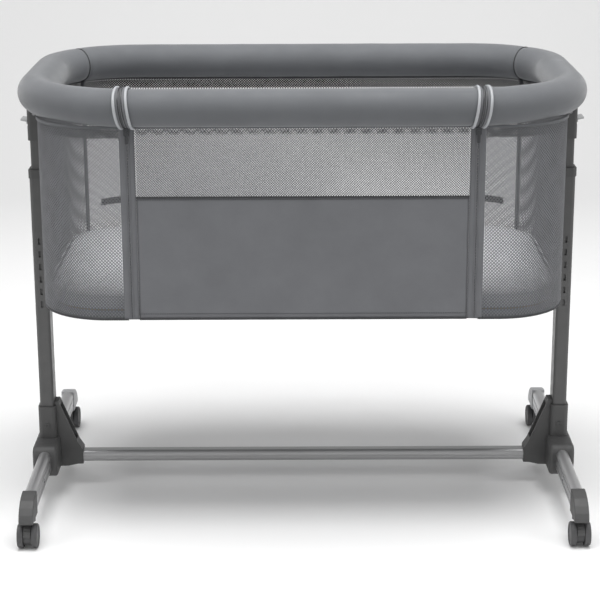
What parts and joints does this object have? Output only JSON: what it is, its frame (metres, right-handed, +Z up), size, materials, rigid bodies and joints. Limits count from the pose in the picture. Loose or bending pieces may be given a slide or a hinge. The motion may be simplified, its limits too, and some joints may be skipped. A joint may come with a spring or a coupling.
{
  "type": "bassinet on stand",
  "caption": "Soft rounded basket with a padded rim and a zipped drop side, hung between two telescopic posts on a castor stand.",
  "frame": {"origin": "on the floor, under the middle of the crib", "axes": "+X along the crib towards its right end as seen from the drop side, +Y towards the fixed rear side, +Z up"},
  "size_m": [0.92, 0.59, 0.728],
  "materials": {
    "silver_metal": "satin, lengthways grooves",
    "grey_metal": "satin powder coat",
    "dark_plastic": "fine moulded texture",
    "light_plastic": "satin",
    "bare_steel": "plain",
    "cover_fabric": "smooth knit over foam",
    "mesh_fabric": "open diamond mesh",
    "panel_fabric": "plain weave",
    "zip_tape": "woven tape",
    "mattress_fabric": "soft knit",
    "webbing": "flat weave",
    "board": "pressed board"
  },
  "bodies": {
    "stand": {"crossbar": "silver_metal", "socket_screws": "bare_steel", "foot_snap_buttons": "bare_steel", "left_foot_tube": "silver_metal", "left_post": "grey_metal", "left_socket": "dark_plastic", "left_collar": "dark_plastic", "left_front_foot_cap": "dark_plastic", "left_rear_foot_cap": "dark_plastic", "right_foot_tube": "silver_metal", "right_post": "grey_metal", "right_socket": "dark_plastic", "right_collar": "dark_plastic", "right_front_foot_cap": "dark_plastic", "right_rear_foot_cap": "dark_plastic"},
    "left_front_castor": {"left_front_castor_housing": "dark_plastic"},
    "left_front_wheels": {"left_front_castor_wheels": "dark_plastic"},
    "left_brake": {"left_front_brake_pedal": "dark_plastic"},
    "left_rear_castor": {"left_rear_castor_housing": "dark_plastic"},
    "left_rear_wheels": {"left_rear_castor_wheels": "dark_plastic"},
    "left_carriage": {"left_inner_tube": "grey_metal", "left_head": "dark_plastic", "left_pin_guide": "dark_plastic", "left_return_spring": "bare_steel"},
    "left_lever": {"left_release_lever": "light_plastic"},
    "left_rod": {"left_pull_rod": "bare_steel"},
    "left_pin": {"left_latch_pin": "bare_steel"},
    "right_front_castor": {"right_front_castor_housing": "dark_plastic"},
    "right_front_wheels": {"right_front_castor_wheels": "dark_plastic"},
    "right_brake": {"right_front_brake_pedal": "dark_plastic"},
    "right_rear_castor": {"right_rear_castor_housing": "dark_plastic"},
    "right_rear_wheels": {"right_rear_castor_wheels": "dark_plastic"},
    "right_carriage": {"right_inner_tube": "grey_metal", "right_head": "dark_plastic", "right_pin_guide": "dark_plastic", "right_return_spring": "bare_steel"},
    "right_lever": {"right_release_lever": "light_plastic"},
    "right_rod": {"right_pull_rod": "bare_steel"},
    "right_pin": {"right_latch_pin": "bare_steel"},
    "basket": {"rim_tube": "bare_steel", "rim_padding": "cover_fabric", "left_rim_bracket": "bare_steel", "right_rim_bracket": "bare_steel", "rail_cradles": "dark_plastic", "rear_wall": "mesh_fabric", "left_end_wall": "mesh_fabric", "right_end_wall": "mesh_fabric", "side_zip_tapes": "zip_tape", "rear_strap_tabs": "webbing", "base_ring": "bare_steel", "base_board": "board", "basket_floor": "panel_fabric"},
    "drop_side": {"drop_rail_tube": "bare_steel", "drop_rail_padding": "cover_fabric", "drop_mesh_panel": "mesh_fabric", "drop_fabric_panel": "panel_fabric", "drop_zip_tapes": "zip_tape"},
    "mattress": {"mattress": "mattress_fabric"},
    "left_slider": {"left_zip_slider": "bare_steel"},
    "right_slider": {"right_zip_slider": "bare_steel"}
  },
  "joints": [
    {"name": "left_front_swivel", "type": "hinge", "parent": "stand", "child": "left_front_castor", "pos_m": [-0.438, -0.263, 0.05], "axis": [0, 0, 1], "continuous": true},
    {"name": "left_front_roll", "type": "hinge", "parent": "left_front_castor", "child": "left_front_wheels", "pos_m": [-0.438, -0.275, 0.0195], "axis": [1, 0, 0], "continuous": true},
    {"name": "left_brake_press", "type": "hinge", "parent": "left_front_castor", "child": "left_brake", "pos_m": [-0.438, -0.275, 0.0195], "axis": [1, 0, 0], "range_deg": [0, 12]},
    {"name": "left_rear_swivel", "type": "hinge", "parent": "stand", "child": "left_rear_castor", "pos_m": [-0.438, 0.263, 0.05], "axis": [0, 0, 1], "continuous": true},
    {"name": "left_rear_roll", "type": "hinge", "parent": "left_rear_castor", "child": "left_rear_wheels", "pos_m": [-0.438, 0.275, 0.0195], "axis": [1, 0, 0], "continuous": true},
    {"name": "right_front_swivel", "type": "hinge", "parent": "stand", "child": "right_front_castor", "pos_m": [0.438, -0.263, 0.05], "axis": [0, 0, 1], "continuous": true},
    {"name": "right_front_roll", "type": "hinge", "parent": "right_front_castor", "child": "right_front_wheels", "pos_m": [0.438, -0.275, 0.0195], "axis": [1, 0, 0], "continuous": true},
    {"name": "right_brake_press", "type": "hinge", "parent": "right_front_castor", "child": "right_brake", "pos_m": [0.438, -0.275, 0.0195], "axis": [1, 0, 0], "range_deg": [0, 12]},
    {"name": "right_rear_swivel", "type": "hinge", "parent": "stand", "child": "right_rear_castor", "pos_m": [0.438, 0.263, 0.05], "axis": [0, 0, 1], "continuous": true},
    {"name": "right_rear_roll", "type": "hinge", "parent": "right_rear_castor", "child": "right_rear_wheels", "pos_m": [0.438, 0.275, 0.0195], "axis": [1, 0, 0], "continuous": true},
    {"name": "left_height", "type": "slide", "parent": "stand", "child": "left_carriage", "axis": [0, 0, 1], "range_m": [0, 0.109]},
    {"name": "basket_tilt", "type": "hinge", "parent": "left_carriage", "child": "basket", "pos_m": [-0.438, 0, 0.65], "axis": [0, -1, 0], "range_deg": [0, 2.1]},
    {"name": "right_carriage_level", "type": "hinge", "parent": "basket", "child": "right_carriage", "pos_m": [0.438, 0, 0.65], "axis": [0, -1, 0], "range_deg": [-2.15, 0]},
    {"name": "left_release", "type": "hinge", "parent": "left_carriage", "child": "left_lever", "pos_m": [-0.445, 0, 0.634], "axis": [0, 1, 0], "range_deg": [0, 15]},
    {"name": "left_rod_pull", "type": "slide", "parent": "left_carriage", "child": "left_rod", "axis": [0, 0, -1], "range_m": [0, 0.002], "stiffness_N_per_m": 800, "springref_m": -0.002, "deforming": ["left_return_spring"]},
    {"name": "left_pin_draw", "type": "slide", "parent": "left_carriage", "child": "left_pin", "axis": [0, 1, 0], "range_m": [0, 0.0034]},
    {"name": "right_release", "type": "hinge", "parent": "right_carriage", "child": "right_lever", "pos_m": [0.445, 0, 0.634], "axis": [0, -1, 0], "range_deg": [0, 15]},
    {"name": "right_rod_pull", "type": "slide", "parent": "right_carriage", "child": "right_rod", "axis": [0, 0, -1], "range_m": [0, 0.002], "stiffness_N_per_m": 800, "springref_m": -0.002, "deforming": ["right_return_spring"]},
    {"name": "right_pin_draw", "type": "slide", "parent": "right_carriage", "child": "right_pin", "axis": [0, 1, 0], "range_m": [0, 0.0034]},
    {"name": "drop_side_fold", "type": "hinge", "parent": "basket", "child": "drop_side", "pos_m": [0, -0.237, 0.3665], "axis": [1, 0, 0], "range_deg": [0, 165]},
    {"name": "mattress_lift", "type": "slide", "parent": "basket", "child": "mattress", "axis": [0, 0, 1], "range_m": [0, 0.24]},
    {"name": "left_unzip", "type": "slide", "parent": "drop_side", "child": "left_slider", "axis": [0, 0, -1], "range_m": [0, 0.265]},
    {"name": "right_unzip", "type": "slide", "parent": "drop_side", "child": "right_slider", "axis": [0, 0, -1], "range_m": [0, 0.265]}
  ],
  "couplings": [
    {"joint": "right_carriage_level", "follows": "basket_tilt", "ratio": -1},
    {"joint": "left_release", "follows": "left_rod_pull", "rad_per_m": 128.2},
    {"joint": "left_pin_draw", "follows": "left_rod_pull", "ratio": 1.6385},
    {"joint": "right_release", "follows": "right_rod_pull", "rad_per_m": 128.2},
    {"joint": "right_pin_draw", "follows": "right_rod_pull", "ratio": 1.6385}
  ]
}
